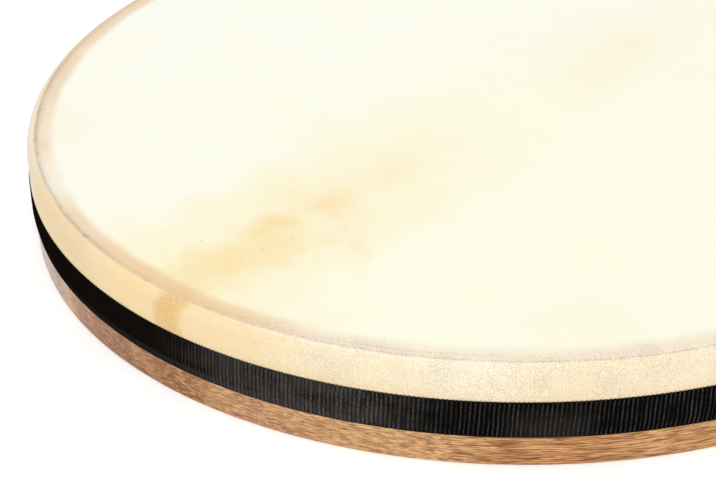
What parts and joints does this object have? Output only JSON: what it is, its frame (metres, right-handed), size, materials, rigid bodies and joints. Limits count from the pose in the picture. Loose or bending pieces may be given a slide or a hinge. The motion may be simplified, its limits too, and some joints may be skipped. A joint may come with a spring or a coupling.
{
  "type": "tar frame drum",
  "caption": "Shallow round frame drum with one goatskin head glued over a bent laminated walnut hoop and a black ribbon over the skin's trimmed edge; open underneath.",
  "frame": {"origin": "centre of the open edge that the drum rests on", "axes": "+Z along the drum's axis, from the open edge to the head; -Y is the side that faces the picture's camera"},
  "size_m": [0.5122, 0.5121, 0.052],
  "materials": {
    "walnut_face": "oiled satin",
    "core_ply": "sanded and oiled edge",
    "goatskin": "dried rawhide",
    "black_ribbon": "ribbed weave"
  },
  "bodies": {
    "root": {"shell_ply_1_outer": "walnut_face", "shell_ply_2_core": "core_ply", "shell_ply_3_core": "core_ply", "shell_ply_4_core": "core_ply", "shell_ply_5_core": "core_ply", "shell_ply_6_inner": "walnut_face", "goatskin_head": "goatskin", "ribbon_trim": "black_ribbon"}
  },
  "joints": []
}
